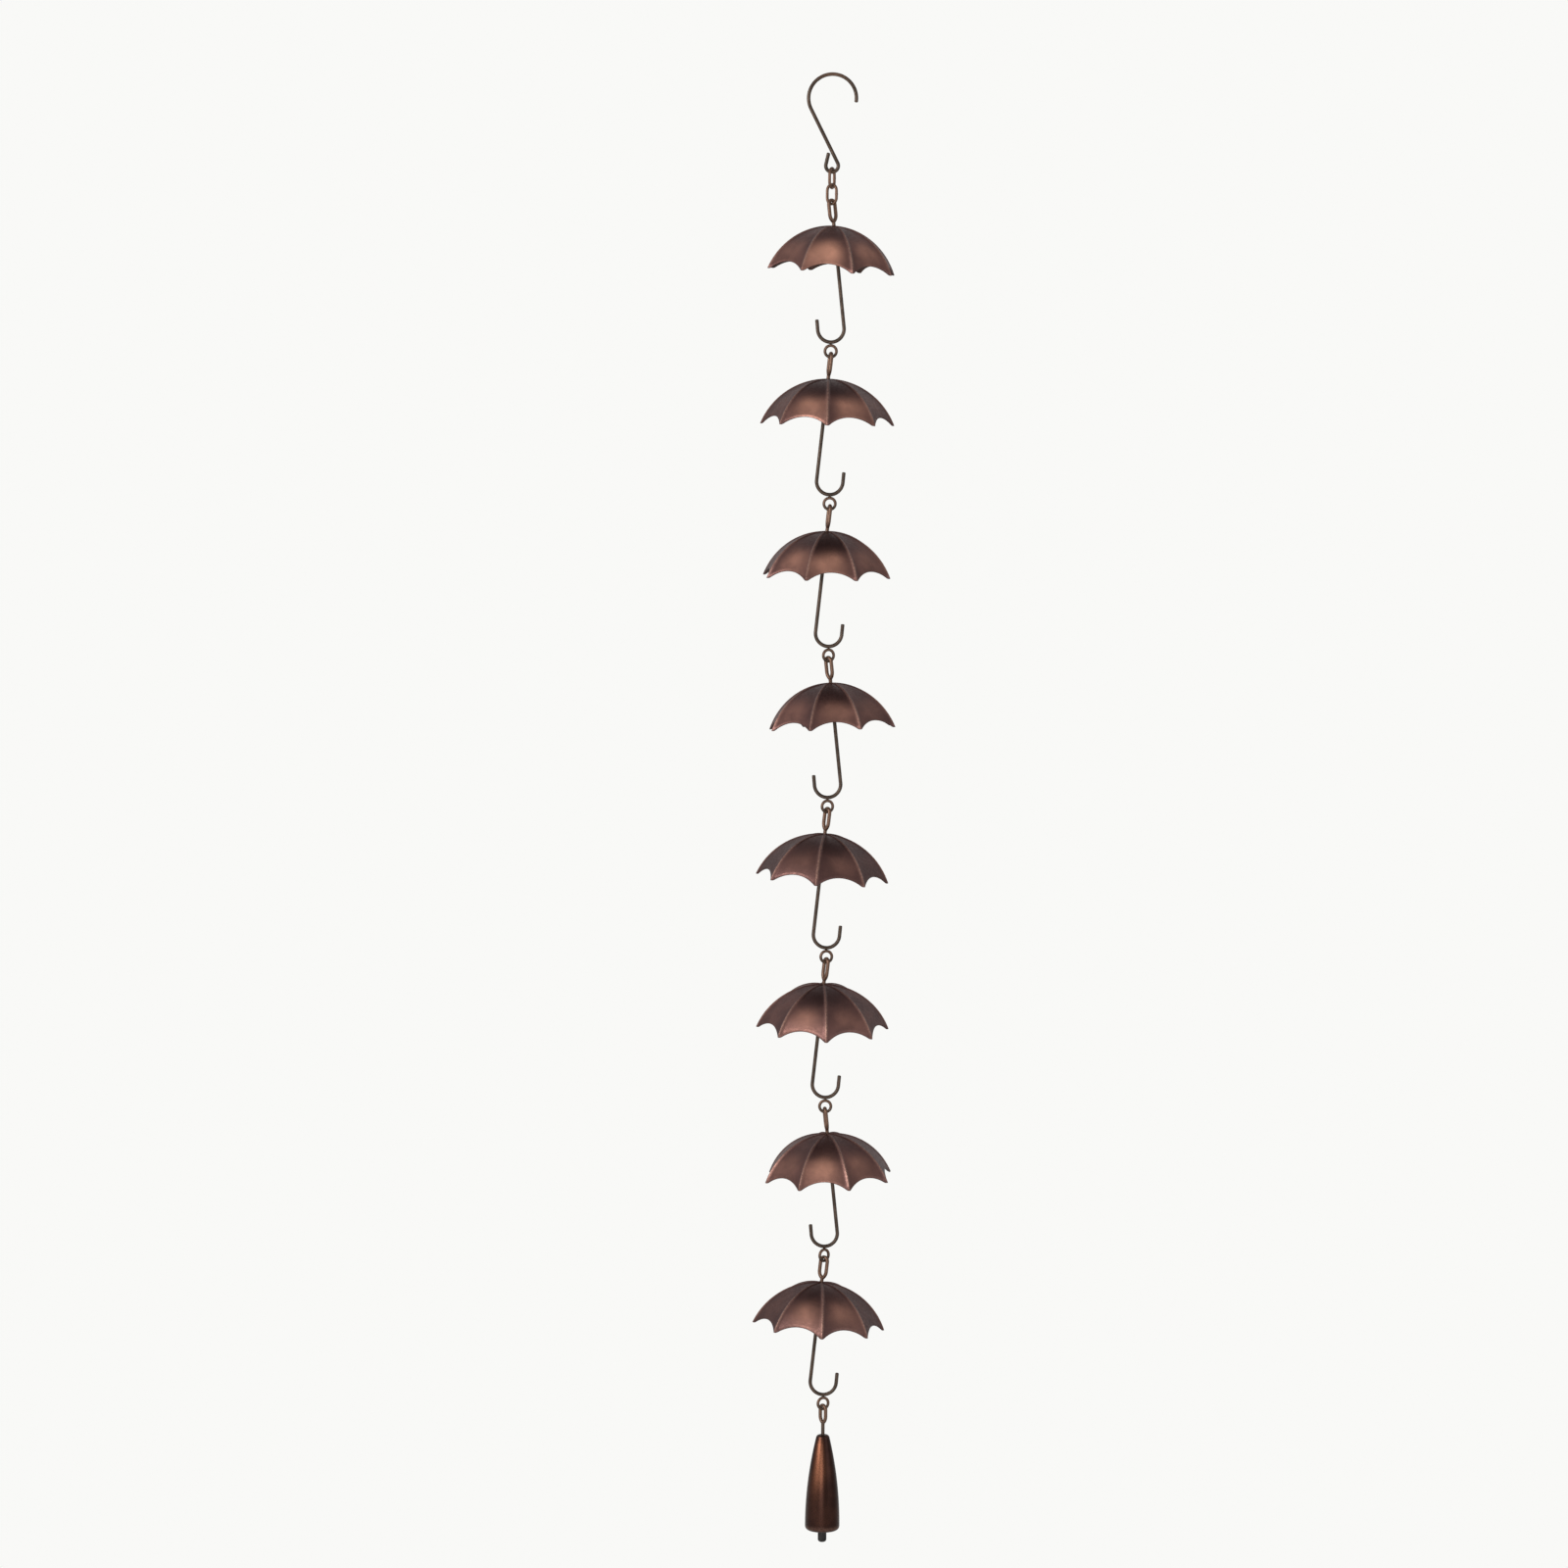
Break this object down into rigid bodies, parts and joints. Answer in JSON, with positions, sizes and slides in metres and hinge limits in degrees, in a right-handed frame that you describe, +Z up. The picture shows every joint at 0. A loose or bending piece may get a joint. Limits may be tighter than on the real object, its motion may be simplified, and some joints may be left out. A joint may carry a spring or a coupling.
{
  "type": "rain chain",
  "caption": "Rain chain of small scalloped metal umbrellas with crook handles, each hung in the ring under the last, from an S-hook, with a long bell and clapper at the foot.",
  "frame": {"origin": "hang point, the top of the S-hook's inner bend", "axes": "+Z up along the hanging chain; X across the crooks, which lie in the XZ plane; the picture looks along +Y"},
  "size_m": [0.1152, 0.1138, 1.2158],
  "materials": {
    "wire": "dark bronze-brown over steel wire, satin",
    "canopy": "flamed antique copper over steel sheet, satin, with dark heat bloom",
    "bell": "dark flamed copper over steel, semi-gloss",
    "clapper": "blackened iron"
  },
  "bodies": {
    "s_hook": {"s_hook": "wire"},
    "upper_link_1": {"upper_link_1": "wire"},
    "upper_link_2": {"upper_link_2": "wire"},
    "umbrella_1": {"canopy_1": "canopy", "handle_1": "wire", "ring_1": "wire"},
    "umbrella_2": {"canopy_2": "canopy", "handle_2": "wire", "ring_2": "wire"},
    "umbrella_3": {"canopy_3": "canopy", "handle_3": "wire", "ring_3": "wire"},
    "umbrella_4": {"canopy_4": "canopy", "handle_4": "wire", "ring_4": "wire"},
    "umbrella_5": {"canopy_5": "canopy", "handle_5": "wire", "ring_5": "wire"},
    "umbrella_6": {"canopy_6": "canopy", "handle_6": "wire", "ring_6": "wire"},
    "umbrella_7": {"canopy_7": "canopy", "handle_7": "wire", "ring_7": "wire"},
    "umbrella_8": {"canopy_8": "canopy", "handle_8": "wire", "ring_8": "wire"},
    "bell": {"bell": "bell", "bell_wire": "wire"},
    "clapper": {"clapper": "clapper", "clapper_wire": "wire"}
  },
  "joints": [
    {"name": "upper_link_1_swing", "type": "hinge", "parent": "s_hook", "child": "upper_link_1", "pos_m": [0, 0, -0.0778], "axis": [1, 0, 0], "range_deg": [-60, 60]},
    {"name": "upper_link_2_swing", "type": "hinge", "parent": "upper_link_1", "child": "upper_link_2", "pos_m": [0, 0, -0.0906], "axis": [0.3746, 0.9272, 0], "range_deg": [-60, 60]},
    {"name": "umbrella_1_swing", "type": "hinge", "parent": "upper_link_2", "child": "umbrella_1", "pos_m": [0, 0, -0.1037], "axis": [-0.7193, 0.6947, 0], "range_deg": [-60, 60]},
    {"name": "umbrella_2_swing", "type": "hinge", "parent": "umbrella_1", "child": "umbrella_2", "pos_m": [0, 0, -0.22833], "axis": [1, 0, 0], "range_deg": [-60, 60]},
    {"name": "umbrella_3_swing", "type": "hinge", "parent": "umbrella_2", "child": "umbrella_3", "pos_m": [0, 0, -0.35295], "axis": [-1, 0, 0], "range_deg": [-60, 60]},
    {"name": "umbrella_4_swing", "type": "hinge", "parent": "umbrella_3", "child": "umbrella_4", "pos_m": [0, 0, -0.47758], "axis": [0.8988, 0.4384, 0], "range_deg": [-60, 60]},
    {"name": "umbrella_5_swing", "type": "hinge", "parent": "umbrella_4", "child": "umbrella_5", "pos_m": [0, 0, -0.6022], "axis": [-0.9336, -0.3584, 0], "range_deg": [-60, 60]},
    {"name": "umbrella_6_swing", "type": "hinge", "parent": "umbrella_5", "child": "umbrella_6", "pos_m": [0, 0, -0.72683], "axis": [0.9703, 0.2419, 0], "range_deg": [-60, 60]},
    {"name": "umbrella_7_swing", "type": "hinge", "parent": "umbrella_6", "child": "umbrella_7", "pos_m": [0, 0, -0.85145], "axis": [-1, 0, 0], "range_deg": [-60, 60]},
    {"name": "umbrella_8_swing", "type": "hinge", "parent": "umbrella_7", "child": "umbrella_8", "pos_m": [0, 0, -0.97608], "axis": [0.766, 0.6428, 0], "range_deg": [-60, 60]},
    {"name": "bell_swing", "type": "hinge", "parent": "umbrella_8", "child": "bell", "pos_m": [0, 0, -1.1007], "axis": [-0.8988, -0.4384, 0], "range_deg": [-60, 60]},
    {"name": "clapper_swing", "type": "hinge", "parent": "bell", "child": "clapper", "pos_m": [0, 0, -1.13145], "axis": [1, 0, 0], "range_deg": [-5.2, 5.2]}
  ]
}
